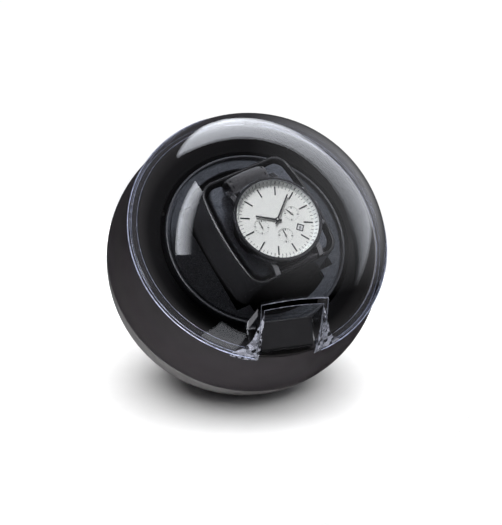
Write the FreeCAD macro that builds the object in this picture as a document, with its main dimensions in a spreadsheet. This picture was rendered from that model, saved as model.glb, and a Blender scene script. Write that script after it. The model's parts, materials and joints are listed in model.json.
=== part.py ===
"""Ball-shaped watch winder: a sphere on a small rubber foot, opening tilted up
40 degrees, clear hinged cover, geared drum with a cushion holder and a watch.

Millimetres, +Z up, origin under the ball on the surface it stands on, front
towards -Y.  The body ball sits a little behind the middle and the clear dome a
little in front of it, so the dome's edge stands proud of the body's rim.
Three working frames share the middle:
  axis frame   z out of the opening along the drum axis, y towards the rim top
  drum frame   the axis frame turned about z by the drum's rest angle
  panel frame  z out of the recessed control panel at the back
"""
import FreeCAD, Part
import math
import os

import Sketcher
from FreeCAD import Placement, Rotation, Vector

doc = FreeCAD.newDocument("WatchWinder")
sheet = doc.addObject("Spreadsheet::Sheet", "Sizes")

SIZES = [
    # ball and tilt
    ("body_r", 71.4), ("body_back", 5.4), ("dome_r", 71.2), ("dome_out", 3.5), ("wall", 2.8),
    ("ball_h", 71.8), ("ball_y", 0.83), ("foot_y", 4.14), ("pitch", 50.0), ("roll", 18.7),
    ("rim_z", 26.6), ("flange_t", 1.6), ("seam_z", -9.2), ("seam_gap", 0.3),
    ("base_cut", 0.8), ("base_floor", 3.6), ("foot_od", 42.0), ("foot_id", 26.0), ("foot_t", 2.0),
    # cover, finger recess, hinge
    ("cover_wall", 2.6), ("cover_gap", 0.3), ("bead_w", 6.0), ("bead_t", 1.9),
    ("recess_half", 14.9), ("recess_y", 48.9), ("recess_wall", 2.6), ("recess_step", 1.8), ("recess_sink", 1.2),
    ("chamfer_w", 1.5), ("chamfer_h", 2.2),
    ("tab_half", 13.3), ("tab_top", 36.5), ("tab_low", 29.9), ("tab_y", 61.3),
    ("hinge_y", 65.6), ("hinge_z", 26.75), ("knuckle_r", 1.8), ("pin_r", 0.78), ("hinge_half", 13.0), ("lug_half", 6.0),
    # bezel and drum
    ("bezel_r", 64.2), ("dish_r", 59.6), ("throat_r", 49.0), ("throat_z", 20.6), ("skirt_z", 13.0),
    ("drum_r", 46.5), ("drum_z", 20.8), ("lip_h", 1.0), ("cup_r", 44.6), ("cup_z", -2.0),
    ("holder_x", 26.6), ("holder_y", 28.5), ("holder_z", 44.5), ("holder_wall", 1.6), ("holder_base", 28.0), ("holder_fillet", 8.0), ("holder_bow", 9.0),
    # drive
    ("plate_r", 60.5), ("plate_z", -21.0), ("plate_t", 2.5), ("fin_r", 53.5), ("fin_top", 4.0),
    ("shaft_r", 3.0), ("run_gap", 0.03), ("gear_module", 1.0), ("gear_teeth", 45), ("pinion_teeth", 15), ("gear_z", -14.0), ("gear_w", 5.0),
    ("motor_off", 30.0), ("gearbox_r", 12.5), ("motor_r", 10.0),
    ("post_r", 50.0),
    # rear panel
    ("panel_turn", -158.0), ("pocket_r", 20.0), ("panel_z", 62.4), ("panel_t", 2.0),
    # cushion and watch
    ("pad_x", 22.3), ("pad_y", 23.3), ("pad_z", 14.0), ("pad_top", 38.3), ("pad_lift", 5.5),
    ("watch_off", 4.3), ("case_r", 21.7), ("bezel_ro", 22.1), ("bezel_ri", 20.4), ("dial_r", 20.0), ("dial_z", 44.3),
    ("case_z", 38.8), ("lug_y", 24.4), ("bar_y", 22.3), ("strap_w", 21.4), ("strap_t", 2.2), ("bar_z", 41.2),
]
for n, (alias, value) in enumerate(SIZES, start=1):
    sheet.set("A%d" % n, alias)
    sheet.set("B%d" % n, repr(value))
    sheet.setAlias("B%d" % n, alias)
doc.recompute()


class Q:
    """A size with its value and the expression over the sheet that gives it."""

    def __init__(self, v, e):
        self.v, self.e = float(v), e

    def __add__(self, o):
        o = q(o)
        return Q(self.v + o.v, "(%s + %s)" % (self.e, o.e))

    def __sub__(self, o):
        o = q(o)
        return Q(self.v - o.v, "(%s - %s)" % (self.e, o.e))

    def __mul__(self, o):
        o = q(o)
        return Q(self.v * o.v, "(%s * %s)" % (self.e, o.e))

    def __truediv__(self, o):
        o = q(o)
        return Q(self.v / o.v, "(%s / %s)" % (self.e, o.e))

    def __neg__(self):
        return Q(-self.v, "(0 - %s)" % self.e)

    def __radd__(self, o):
        return q(o) + self

    def __rsub__(self, o):
        return q(o) - self

    def __rmul__(self, o):
        return q(o) * self


def q(o):
    if isinstance(o, Q):
        return o
    return Q(o, "%.6f" % o if o >= 0 else "(0 - %.6f)" % -o)


def root(a):
    return Q(math.sqrt(a.v), "sqrt(%s)" % a.e)


class Sizes:
    def __getattr__(self, name):
        return Q(sheet.get(name), "Sizes." + name)


D = Sizes()
count = {"n": 0}


def new(kind, tag):
    count["n"] += 1
    return doc.addObject(kind, "%s_%03d" % (tag, count["n"]))


def bind(o, prop, value):
    value = q(value)
    if "Sizes." in value.e:
        o.setExpression(prop, value.e)
    else:
        setattr(o, prop, value.v)


def at(o, x, y, z):
    o.Placement.Base = Vector(q(x).v, q(y).v, q(z).v)
    for axis, value in zip("xyz", (x, y, z)):
        if "Sizes." in q(value).e:
            o.setExpression("Placement.Base." + axis, q(value).e)
    return o


def box(x0, x1, y0, y1, z0, z1, turn=None):
    """A block between two corners; turn is a rotation about the frame's origin."""
    o = new("Part::Box", "Block")
    bind(o, "Length", q(x1) - q(x0))
    bind(o, "Width", q(y1) - q(y0))
    bind(o, "Height", q(z1) - q(z0))
    if turn is None:
        return at(o, x0, y0, z0)
    o.Placement = Placement(Vector(0, 0, 0), turn).multiply(
        Placement(Vector(q(x0).v, q(y0).v, q(z0).v), Rotation()))
    return o


def cyl(r, x, y, z0, z1):
    o = new("Part::Cylinder", "Round")
    bind(o, "Radius", r)
    bind(o, "Height", q(z1) - q(z0))
    return at(o, x, y, z0)


def rod_x(r, x0, x1, y, z):
    """A round bar along x."""
    o = new("Part::Cylinder", "Bar")
    bind(o, "Radius", r)
    bind(o, "Height", q(x1) - q(x0))
    o.Placement = Placement(Vector(0, 0, 0), Rotation(Vector(0, 1, 0), 90))
    return at(o, x0, y, z)


def turned(o, turn):
    """The same primitive, turned about the frame's origin."""
    o.Placement = Placement(Vector(0, 0, 0), turn).multiply(o.Placement)
    for axis in "xyz":
        o.setExpression("Placement.Base." + axis, None)
    return o


def rod_y(r, x, y0, y1, z):
    """A round bar along y."""
    o = new("Part::Cylinder", "Bar")
    bind(o, "Radius", r)
    bind(o, "Height", q(y1) - q(y0))
    o.Placement = Placement(Vector(0, 0, 0), Rotation(Vector(1, 0, 0), -90))
    return at(o, x, y0, z)


def ball(r, z, lie=False):
    """A sphere centred on the axis at height z; lie puts its poles left and right."""
    o = new("Part::Sphere", "Ball")
    bind(o, "Radius", r)
    if lie:
        o.Placement = Placement(Vector(0, 0, 0), Rotation(Vector(0, 1, 0), 90))
    return at(o, 0, 0, z)


def crossed(x, y, arm, wide, z0, z1):
    """The driver recess of a screw head: two crossed slots."""
    return fuse(box(x - arm, x + arm, y - wide, y + wide, z0, z1), box(x - wide, x + wide, y - arm, y + arm, z0, z1))


def cut(a, b):
    o = new("Part::Cut", "Cut")
    o.Base, o.Tool = a, b
    return o


def fuse(*parts):
    o = new("Part::MultiFuse", "Fuse")
    o.Shapes = list(parts)
    return o


def common(a, b):
    o = new("Part::Common", "Common")
    o.Base, o.Tool = a, b
    return o


def group(*parts):
    o = new("Part::Compound", "Group")
    o.Links = list(parts)
    return o


def sketch(body, role, pts):
    """A closed outline in one of the body's origin planes, every corner dimensioned."""
    sk = body.newObject("Sketcher::SketchObject", "Outline")
    plane = [f for f in body.Origin.OriginFeatures if f.Role == role][0]
    sk.AttachmentSupport = [(plane, "")]
    sk.MapMode = "FlatFace"
    pts = [(q(a), q(b)) for a, b in pts]
    n = len(pts)
    for i in range(n):
        a, b = pts[i], pts[(i + 1) % n]
        sk.addGeometry(Part.LineSegment(Vector(a[0].v, a[1].v, 0), Vector(b[0].v, b[1].v, 0)), False)
    for i in range(n):
        sk.addConstraint(Sketcher.Constraint("Coincident", i, 2, (i + 1) % n, 1))
    for i, pair in enumerate(pts):
        for kind, axis, value in (("DistanceX", -2, pair[0]), ("DistanceY", -1, pair[1])):
            if abs(value.v) < 1e-9:
                sk.addConstraint(Sketcher.Constraint("PointOnObject", i, 1, axis))
                continue
            k = sk.addConstraint(Sketcher.Constraint(kind, -1, 1, i, 1, value.v))
            if "Sizes." in value.e:
                sk.setExpression("Constraints[%d]" % k, value.e)
    return sk


def revolve(pts):
    """A body turned about z from an outline of (radius, height) corners."""
    body = new("PartDesign::Body", "Turned")
    sk = sketch(body, "XZ_Plane", pts)
    rev = body.newObject("PartDesign::Revolution", "Revolution")
    rev.Profile = sk
    rev.ReferenceAxis = (sk, ["V_Axis"])
    rev.Angle = 360.0
    return body


def padded(role, pts, length, both=True):
    body = new("PartDesign::Body", "Slab")
    sk = sketch(body, role, pts)
    pad = body.newObject("PartDesign::Pad", "Pad")
    pad.Profile = sk
    bind(pad, "Length", length)
    pad.Midplane = both
    return body


def feature(shape):
    o = new("Part::Feature", "Shape")
    o.Shape = shape
    return o


C = Vector(0, -D.ball_y.v, D.ball_h.v)
PITCH = Rotation(Vector(1, 0, 0), D.pitch.v)
AXIS = Placement(C, PITCH)
DRUM = Placement(C, PITCH.multiply(Rotation(Vector(0, 0, 1), D.roll.v)))
CUSHION = DRUM.multiply(Placement(Vector(0, 0, D.pad_lift.v), Rotation()))
WATCH = CUSHION.multiply(Placement(Vector(0, -D.watch_off.v, 0), Rotation()))
PANEL_TURN = Rotation(Vector(1, 0, 0), D.panel_turn.v)
PANEL = AXIS.multiply(Placement(Vector(0, 0, 0), PANEL_TURN))
LEVEL = Rotation(Vector(1, 0, 0), -D.pitch.v)      # level blocks inside the axis frame
nodes = []


def node(o, label, place):
    o.Label = label
    o.Placement = place
    nodes.append(o)
    return o


def at_angles(r, angles):
    return [(r * math.cos(math.radians(a)), r * math.sin(math.radians(a))) for a in angles]


BIG = 200.0
inner_r = D.body_r - D.wall
body_z, dome_z = -D.body_back, D.dome_out
shell_top = D.rim_z - D.flange_t
plate_top = D.plate_z + D.plate_t

# ---------------------------------------------------------------- ball shells
flat = D.base_cut - D.ball_h
floor = D.base_floor - D.ball_h
outer_ball = common(ball(D.body_r, body_z), box(-BIG, BIG, -BIG, BIG, flat, BIG, LEVEL))
inner_ball = common(ball(inner_r, body_z), box(-BIG, BIG, -BIG, BIG, floor, BIG, LEVEL))
groove = cut(turned(cyl(D.foot_od / 2 + 0.1, 0, D.foot_y, flat - 5, flat + D.foot_t - D.base_cut), LEVEL),
             turned(cyl(D.foot_id / 2 - 0.1, 0, D.foot_y, flat - 6, BIG), LEVEL))
shell = cut(cut(outer_ball, inner_ball), groove)
spigot_r = root(inner_r * inner_r - (D.seam_z - body_z) * (D.seam_z - body_z))

# four fins inside the front shell reach past the seam and take the chassis plate
fins = fuse(box(D.fin_r, 75, -3, 3, plate_top, D.fin_top), box(-75, -D.fin_r, -3, 3, plate_top, D.fin_top),
            box(-3, 3, D.fin_r, 75, plate_top, D.fin_top), box(-3, 3, -75, -D.fin_r, plate_top, D.fin_top))
fin_room = cut(cyl(BIG / 2, 0, 0, -BIG, D.seam_z + 3.4), cyl(spigot_r - 2.2, 0, 0, -BIG - 1, BIG))
fin_bores = group(*[cyl(1.3, x, y, -BIG, -11.5) for x, y in at_angles(57.5, (0, 90, 180, 270))])
fins = cut(cut(common(fins, ball(inner_r + 1.0, body_z)), fin_room), fin_bores)
base_trim = box(-BIG, BIG, -BIG, BIG, flat + 1, BIG, LEVEL)
knuckles = fuse(*[common(fuse(rod_x(D.knuckle_r, x0, x1, D.hinge_y, D.hinge_z),
                              box(x0, x1, D.hinge_y - 3.3, D.hinge_y + 1.2, D.hinge_z - 3.2, D.hinge_z)),
                         ball(D.body_r + 3.4, body_z))
                  for x0, x1 in ((-D.hinge_half, -D.lug_half - 0.3), (D.lug_half + 0.3, D.hinge_half))])
body_ring = common(shell, box(-BIG, BIG, -BIG, BIG, D.seam_z + D.seam_gap, shell_top))
body_ring = cut(body_ring, rod_x(D.knuckle_r + 0.35, -D.lug_half - 0.25, D.lug_half + 0.25, D.hinge_y, D.hinge_z))
body_ring = cut(fuse(body_ring, fins, knuckles), rod_x(D.pin_r + 0.02, -20, 20, D.hinge_y, D.hinge_z))
node(body_ring, "main_shell", AXIS)

rear_cap = common(shell, box(-BIG, BIG, -BIG, BIG, -BIG, D.seam_z - D.seam_gap))
spigot = cut(cyl(spigot_r - 0.1, 0, 0, D.seam_z - 3.5, D.seam_z + 3.0), cyl(spigot_r - 1.6, 0, 0, -BIG, BIG))
post_at = at_angles(50.0, (45, 135, 225, 315))
posts = common(group(*[cyl(4.6, x, y, -BIG, D.plate_z - 0.0) for x, y in post_at]), common(ball(D.body_r - 0.6, body_z), base_trim))
post_bores = group(*[fuse(cyl(3.3, x, y, -BIG, -40), cyl(1.6, x, y, -41, 0)) for x, y in post_at])
pocket_wall = common(turned(cyl(D.pocket_r + 2.0, 0, 0, D.panel_z - 2.0, BIG), PANEL_TURN), ball(D.body_r - 0.3, body_z))
pocket_bore = turned(cyl(D.pocket_r, 0, 0, D.panel_z, BIG), PANEL_TURN)
pocket_hole = turned(cyl(D.pocket_r - 4.0, 0, 0, D.panel_z - 6, BIG), PANEL_TURN)
pocket_taps = group(*[turned(cyl(1.0, 0, y, D.panel_z - 6, BIG), PANEL_TURN) for y in (-18.0, 18.0)])
rear = fuse(rear_cap, spigot, posts, pocket_wall)
rear = cut(cut(cut(cut(rear, pocket_bore), pocket_hole), pocket_taps), post_bores)
node(rear, "rear_shell", AXIS)

foot = revolve([(D.foot_id / 2, 0.4), (D.foot_id / 2 + 0.4, 0), (D.foot_od / 2 - 0.4, 0), (D.foot_od / 2, 0.4),
                (D.foot_od / 2, D.foot_t), (D.foot_id / 2, D.foot_t)])
node(foot, "foot_ring", Placement(Vector(0, C.y + D.foot_y.v, 0), Rotation()))

# ------------------------------------------------------- bezel, tab and cover
dish = []
steps = 9
for i in range(steps + 1):
    u = i / steps
    r = D.dish_r - (D.dish_r - D.throat_r) * u
    z = D.throat_z + (D.rim_z - 0.5 - D.throat_z) * ((1 - u) ** 1.8)
    dish.append((r, z))
under = [(r + 0.5, z - 1.7) for r, z in dish[1:]][::-1]
profile = [(D.bezel_r, shell_top), (D.bezel_r, D.rim_z), (D.dish_r + 0.6, D.rim_z)] + dish
profile += [(D.throat_r, D.skirt_z), (D.throat_r + 1.6, D.skirt_z), (D.throat_r + 1.6, D.throat_z - 1.6)]
profile += under[1:] + [(D.dish_r + 2.0, shell_top)]
bezel = revolve(profile)
bezel_notch = box(-D.hinge_half - 0.6, D.hinge_half + 0.6, D.hinge_y - 3.4, BIG, 0, BIG)
node(cut(bezel, bezel_notch), "front_bezel", AXIS)

# sloping tongue that stands on the bezel's land and closes the recess from inside
tab = padded("YZ_Plane", [(-D.recess_y - 0.3, D.tab_top - 0.6), (-D.recess_y - 0.9, D.tab_top), (-D.tab_y, D.tab_low),
                          (-D.tab_y - 0.6, D.tab_low - 0.7), (-D.tab_y - 0.6, D.rim_z + 0.02), (-D.tab_y + 0.9, D.rim_z + 0.02),
                          (-D.tab_y + 0.9, D.tab_low - 2.2), (-D.recess_y - 0.3, D.tab_top - 2.6)], D.tab_half * 2)
node(tab, "finger_tab", AXIS)

edge = D.rim_z + D.cover_gap
recess_out = box(-D.recess_half, D.recess_half, -BIG, -D.recess_y, -BIG, BIG)
recess_in = box(-D.recess_half - D.recess_wall, D.recess_half + D.recess_wall, -BIG, -D.recess_y + D.recess_wall, -BIG, BIG)
rim_out = root(D.dome_r * D.dome_r - (edge - dome_z) * (edge - dome_z))
bead = cut(cyl(D.dome_r, 0, 0, 0, edge + D.bead_t), cyl(rim_out - D.bead_w, 0, 0, -BIG, BIG))
hollow = cut(cut(ball(D.dome_r - D.cover_wall, dome_z, True), recess_in), bead)
dome = cut(common(ball(D.dome_r, dome_z, True), box(-BIG, BIG, -BIG, BIG, edge, BIG)), hollow)
dome = cut(dome, recess_out)
# shallow step round the recess, and a chamfer on the dome's lower outside edge
step_x, step_y = D.recess_half + D.recess_step, D.recess_y - D.recess_step
dome = cut(dome, cut(box(-step_x, step_x, -BIG, -step_y, -BIG, BIG), ball(D.dome_r - D.recess_sink, dome_z, True)))
dome = common(dome, revolve([(0, edge - 5), (rim_out - D.chamfer_w, edge - 5), (rim_out - D.chamfer_w, edge), (rim_out + 0.2, edge + D.chamfer_h),
                             (rim_out + 12, edge + D.chamfer_h), (rim_out + 12, D.dome_r + 10), (0, D.dome_r + 10)]))
dome = cut(dome, rod_x(D.knuckle_r + 0.35, -D.hinge_half - 0.6, D.hinge_half + 0.6, D.hinge_y, D.hinge_z))
lug = fuse(rod_x(D.knuckle_r, -D.lug_half, D.lug_half, D.hinge_y, D.hinge_z),
           box(-D.lug_half, D.lug_half, D.hinge_y - 1.8, D.hinge_y - 0.1, D.hinge_z + 0.2, D.hinge_z + 2.8))
dome = cut(fuse(dome, lug), rod_x(D.pin_r + 0.05, -20, 20, D.hinge_y, D.hinge_z))
node(dome, "clear_cover", AXIS)
node(rod_x(D.pin_r, -D.hinge_half + 0.2, D.hinge_half - 0.2, D.hinge_y, D.hinge_z), "hinge_pin", Placement())
nodes[-1].setExpression("Placement.Base.y", None)
nodes[-1].setExpression("Placement.Base.z", None)
nodes[-1].setExpression("Placement.Base.x", None)
nodes[-1].Placement = AXIS.multiply(Placement(Vector(-D.hinge_half.v + 0.2, D.hinge_y.v, D.hinge_z.v), Rotation(Vector(0, 1, 0), 90)))

# ---------------------------------------------------------------------- drum
face_ring = revolve([(28.0, D.drum_z - 2.0), (28.0, D.drum_z), (D.drum_r - 2.8, D.drum_z), (D.drum_r - 2.6, D.drum_z - 0.7),
                     (D.drum_r - 1.5, D.drum_z - 0.7), (D.drum_r - 1.2, D.drum_z + D.lip_h), (D.drum_r - 0.3, D.drum_z + D.lip_h),
                     (D.drum_r, D.drum_z + D.lip_h - 0.3), (D.drum_r, D.drum_z - 7.0), (D.drum_r - 1.6, D.drum_z - 7.0),
                     (D.drum_r - 1.6, D.drum_z - 2.0)])
face_disc = fuse(face_ring, cyl(28.5, 0, 0, D.drum_z - 2.0, D.drum_z))
face_open = fuse(box(-29.0, 29.0, -29.2, 29.2, 0, BIG), common(box(-21.5, 21.5, -45.0, 45.0, 0, BIG), cyl(39.3, 0, 0, 0, BIG)))
node(cut(face_disc, face_open), "drum_face", DRUM)

cup = revolve([(D.shaft_r, D.cup_z - 5.0), (7.0, D.cup_z - 5.0), (7.0, D.cup_z), (D.cup_r - 1.5, D.cup_z), (D.cup_r, D.cup_z + 1.5),
               (D.cup_r, D.drum_z - 2.0), (D.cup_r - 1.6, D.drum_z - 2.0), (D.cup_r - 1.6, D.cup_z + 2.0), (D.shaft_r, D.cup_z + 2.0)])
holder_at = [(-16.0, -18.0), (16.0, -18.0), (-16.0, 18.0), (16.0, 18.0)]
node(cut(cup, group(*[cyl(1.5, x, y, -BIG, BIG) for x, y in holder_at])), "drum_cup", DRUM)


def rounded(x, y, r, z):
    """A rounded rectangle wire with half sizes x and y."""
    k = r * (1 - math.sqrt(0.5))
    edges = []
    corner = [(x, y - r, x - k, y - k, x - r, y), (-x + r, y, -x + k, y - k, -x, y - r),
              (-x, -y + r, -x + k, -y + k, -x + r, -y), (x - r, -y, x - k, -y + k, x, -y + r)]
    for i in range(4):
        a = corner[i]
        b = corner[(i + 1) % 4]
        edges.append(Part.Arc(Vector(a[0], a[1], z), Vector(a[2], a[3], z), Vector(a[4], a[5], z)).toShape())
        edges.append(Part.LineSegment(Vector(a[4], a[5], z), Vector(b[0], b[1], z)).toShape())
    return Part.Wire(edges)


def bowed(x, y, r, z, turn):
    """A rounded outline whose long sides bow out to half size x; turn is the bow's angle at its ends."""
    c, n = math.cos(turn), math.sin(turn)
    rise = (y - r + r * n) / n * (1 - c)
    cx, cy, m = x - rise - r * c, y - r, math.radians(45) + turn / 2
    ends = [(cx + r * c, cy + r * n), (cx + r * math.cos(m), cy + r * math.sin(m)), (cx, cy + r)]
    corner = [ends, [(-u, v) for u, v in ends[::-1]], [(-u, -v) for u, v in ends], [(u, -v) for u, v in ends[::-1]]]
    edges = []
    for i in range(4):
        p, q, o = (Vector(u, v, z) for u, v in corner[i])
        edges.append(Part.Arc(p, q, o).toShape())
        far = Vector(*corner[(i + 1) % 4][0], z)
        if i % 2:
            edges.append(Part.Arc(o, Vector(-x if i == 1 else x, 0, z), far).toShape())
        else:
            edges.append(Part.LineSegment(o, far).toShape())
    return Part.Wire(edges)


def taper(x0, y0, r0, z0, x1, y1, r1, z1, turn=0.0):
    if turn:
        return Part.makeLoft([bowed(x0, y0, r0, z0, turn), bowed(x1, y1, r1, z1, turn)], True, True)
    return Part.makeLoft([rounded(x0, y0, r0, z0), rounded(x1, y1, r1, z1)], True, True)


hx, hy, hz, hw, hb, hf = (D.holder_x.v, D.holder_y.v, D.holder_z.v, D.holder_wall.v, D.holder_base.v, D.holder_fillet.v)
flare = hb - hx
hz0 = D.cup_z.v + 2.0
slope = flare / (hz - D.drum_z.v)
wide = slope * (hz - hz0)
bow = math.radians(D.holder_bow.v)
tub = taper(hx + wide, hy + wide * 0.2, hf, hz0, hx, hy, hf, hz, bow)
tub = tub.cut(taper(hx + wide - hw, hy + wide * 0.2 - hw, hf - hw, hz0 + 2.0, hx - hw, hy - hw, hf - hw, hz, bow).fuse(
    taper(hx - hw, hy - hw, hf - hw, hz, hx - hw, hy - hw, hf - hw, hz + 1.0, bow)))
for sx in (-1, 1):
    tub = tub.fuse(Part.makeBox(8.4, 40.0, D.pad_z.v + D.pad_lift.v - 0.4 - hz0, Vector(14.2 if sx > 0 else -22.6, -20.0, hz0)))
for x, y in holder_at:
    tub = tub.cut(Part.makeCylinder(1.2, 9.0, Vector(x, y, hz0)))
tub = tub.removeSplitter()
node(feature(tub), "holder_frame", DRUM)
node(group(*[fuse(cyl(2.6, x, y, D.cup_z - 1.6, D.cup_z), cyl(1.2, x, y, D.cup_z - 0.5, D.cup_z + 10.0)) for x, y in holder_at]),
     "holder_screws", DRUM)

shaft_end = D.plate_z - 4.6
shaft = revolve([(0, shaft_end), (D.shaft_r - 0.3, shaft_end), (D.shaft_r, shaft_end + 0.3), (D.shaft_r, shaft_end + 1.2),
                 (D.shaft_r - 0.6, shaft_end + 1.2), (D.shaft_r - 0.6, shaft_end + 2.3), (D.shaft_r, shaft_end + 2.3),
                 (D.shaft_r, D.cup_z + 1.8), (0, D.cup_z + 1.8)])
node(shaft, "drum_shaft", AXIS)
node(revolve([(D.shaft_r - 0.6, shaft_end + 1.25), (6.0, shaft_end + 1.25), (6.0, shaft_end + 2.25), (D.shaft_r - 0.6, shaft_end + 2.25)]),
     "retaining_clip", AXIS)


def spur(teeth, first, add, ded, backlash, z0, z1, bore, cx, cy):
    """A spur gear: involute flanks from the root to the tip, first tooth at an angle in degrees."""
    m = D.gear_module.v
    rp = teeth * m / 2.0
    rb = rp * math.cos(math.radians(20))
    ra, rf = rp + add, rp - ded
    half = (math.pi * m / 2 - backlash) / (2 * rp)
    inv = lambda r: math.tan(math.acos(min(1.0, rb / r))) - math.acos(min(1.0, rb / r))
    inv0 = math.tan(math.radians(20)) - math.radians(20)
    lo = max(rb, rf)
    radii = [lo + (ra - lo) * i / 4.0 for i in range(5)]
    pts = []
    for k in range(teeth):
        mid = math.radians(first) + 2 * math.pi * k / teeth
        flank = [(r, half + inv0 - inv(r)) for r in radii]
        if rf < rb:
            flank = [(rf, flank[0][1])] + flank
        for r, a in flank:
            pts.append((r, mid - a))
        for r, a in flank[::-1]:
            pts.append((r, mid + a))
    wire = [Vector(cx + r * math.cos(a), cy + r * math.sin(a), z0) for r, a in pts]
    solid = Part.Face(Part.makePolygon(wire + [wire[0]])).extrude(Vector(0, 0, z1 - z0))
    return solid.cut(Part.makeCylinder(bore, z1 - z0 + 40, Vector(cx, cy, z0 - 20)))


gz, gw = D.gear_z.v, D.gear_w.v
gear = spur(int(D.gear_teeth.v), -90.0, 0.8, 1.0, 0.16, gz, gz + gw, D.shaft_r.v, 0, 0)
hub = Part.makeCylinder(7.0, D.cup_z.v - 5.0 - 0.02 - gz + 1.6, Vector(0, 0, gz - 1.6)).cut(
    Part.makeCylinder(D.shaft_r.v, 40, Vector(0, 0, gz - 20)))
node(feature(gear.fuse(hub).removeSplitter()), "drum_gear", AXIS)

# ------------------------------------------------------------ chassis, motor
plate_at = at_angles(57.5, (0, 90, 180, 270))
stand_at = [(-14.0, 28.0), (14.0, 28.0)]
motor_at = [(-8.0, -30.0), (8.0, -30.0)]
plate = fuse(cyl(D.plate_r, 0, 0, D.plate_z, plate_top), *[cyl(2.6, x, y, D.plate_z - 5.0, D.plate_z + 0.5) for x, y in stand_at])
holes = [cyl(5.0, 0, 0, -BIG, BIG), cyl(5.0, 0, -D.motor_off, -BIG, BIG)]
holes += [cyl(1.3, x, y, -BIG, BIG) for x, y in plate_at]
holes += [cyl(1.5, x, y, -BIG, BIG) for x, y in post_at]
holes += [cyl(1.1, x, y, -BIG, BIG) for x, y in motor_at]
holes += [cyl(0.9, x, y, D.plate_z - 6.0, D.plate_z - 0.5) for x, y in stand_at]
node(cut(plate, group(*holes)), "chassis_plate", AXIS)
node(group(*[fuse(cyl(2.4, x, y, D.plate_z - 1.6, D.plate_z), cyl(1.25, x, y, D.plate_z - 0.2, -12.5)) for x, y in plate_at]),
     "chassis_screws", AXIS)
node(group(*[cut(fuse(cyl(3.0, x, y, -42.2, -40.0), cyl(1.45, x, y, -40.5, plate_top - 0.3)), crossed(x, y, 1.9, 0.4, -BIG, -41.2))
             for x, y in post_at]), "housing_screws", AXIS)
bush_bore = D.shaft_r + D.run_gap
node(revolve([(bush_bore, D.plate_z - 2.0), (5.0, D.plate_z - 2.0), (5.0, plate_top), (7.0, plate_top), (7.0, plate_top + 2.2),
              (bush_bore, plate_top + 2.2)]), "shaft_bush", AXIS)

my = -D.motor_off
gb_top = D.plate_z - 0.02
gearbox = fuse(cyl(D.gearbox_r, 0, my, gb_top - 10.0, gb_top), cyl(4.5, 0, my, gb_top - 1.0, D.plate_z + 2.0))
node(cut(gearbox, group(cyl(1.55, 0, my, gb_top - 8.0, BIG), *[cyl(1.0, x, y, gb_top - 6.0, BIG) for x, y in motor_at])),
     "motor_gearbox", AXIS)
node(fuse(cyl(D.motor_r, 0, my, gb_top - 26.0, gb_top - 10.0), cyl(3.0, 0, my, gb_top - 27.5, gb_top - 25.5)), "motor_can", AXIS)
node(group(*[fuse(cyl(2.0, x, y, plate_top, plate_top + 1.4), cyl(0.95, x, y, gb_top - 5.0, plate_top + 0.2)) for x, y in motor_at]),
     "motor_screws", AXIS)
pinion = spur(int(D.pinion_teeth.v), 90.0 + 12.0, 0.8, 1.0, 0.16, gz + 0.3, gz + gw - 0.3, 1.5, 0, -D.motor_off.v)
node(feature(pinion), "motor_pinion", AXIS)
node(cyl(1.5, 0, my, gb_top - 7.5, gz + gw + 0.6), "motor_shaft", Placement())
for axis in "xyz":
    nodes[-1].setExpression("Placement.Base." + axis, None)
nodes[-1].Placement = AXIS.multiply(Placement(Vector(0, my.v, gb_top.v - 7.5), Rotation()))

board_z = D.plate_z - 5.0
board = fuse(box(-19, 19, 15, 41, board_z - 1.6, board_z), box(-6, 6, 30, 38, board_z - 3.2, board_z - 1.5),
             box(-15, -5, 17, 23, board_z - 7.0, board_z - 1.5), cyl(2.5, 8, 20, board_z - 8.0, board_z - 1.5))
node(cut(board, group(*[cyl(1.1, x, y, -BIG, BIG) for x, y in stand_at])), "pcb", AXIS)
node(group(*[fuse(cyl(1.9, x, y, board_z - 2.8, board_z - 1.6), cyl(0.85, x, y, board_z - 1.8, board_z + 3.5)) for x, y in stand_at]),
     "pcb_screws", AXIS)

# ------------------------------------------------------------ rear controls
p0, p1 = D.panel_z, D.panel_z + D.panel_t
knob_xy, rock_xy, jack_xy = (-7.6, -2.0), (7.4, -4.5), (4.4, 9.2)
panel = cyl(D.pocket_r - 0.2, 0, 0, p0, p1)
panel_holes = group(cyl(3.0, knob_xy[0], knob_xy[1], 0, BIG), box(rock_xy[0] - 6.1, rock_xy[0] + 6.1, rock_xy[1] - 4.1, rock_xy[1] + 4.1, 0, BIG),
                    cyl(4.6, jack_xy[0], jack_xy[1], 0, BIG), *[cyl(1.3, 0, y, 0, BIG) for y in (-18.0, 18.0)])
node(cut(panel, panel_holes), "rear_panel", PANEL)
node(group(*[cut(fuse(cyl(2.0, 0, y, p1, p1 + 1.1), cyl(0.95, 0, y, p0 - 2.0, p1 + 0.2)), crossed(0, y, 1.3, 0.3, p1 + 0.45, BIG))
             for y in (-18.0, 18.0)]), "panel_screws", PANEL)
kx, ky = knob_xy
node(cut(fuse(box(kx - 5.5, kx + 5.5, ky - 5.5, ky + 5.5, p0 - 7.0, p0 - 0.02), cyl(2.9, kx, ky, p0 - 1.0, p1 - 0.1)),
         cyl(2.05, kx, ky, p0 - 5.0, BIG)), "mode_switch", PANEL)
knob = fuse(cyl(6.2, kx, ky, p1 + 0.5, p1 + 7.6), cyl(2.0, kx, ky, p0 - 4.6, p1 + 1.0))
flutes = [cyl(0.55, kx + 6.45 * math.cos(2 * math.pi * i / 18), ky + 6.45 * math.sin(2 * math.pi * i / 18), p1, BIG) for i in range(18)]
mark = box(kx - 0.4, kx + 0.4, ky - 6.0, ky - 2.5, p1 + 7.1, BIG)
node(cut(knob, group(mark, *flutes)), "mode_knob", PANEL)
rx, ry = rock_xy
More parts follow.
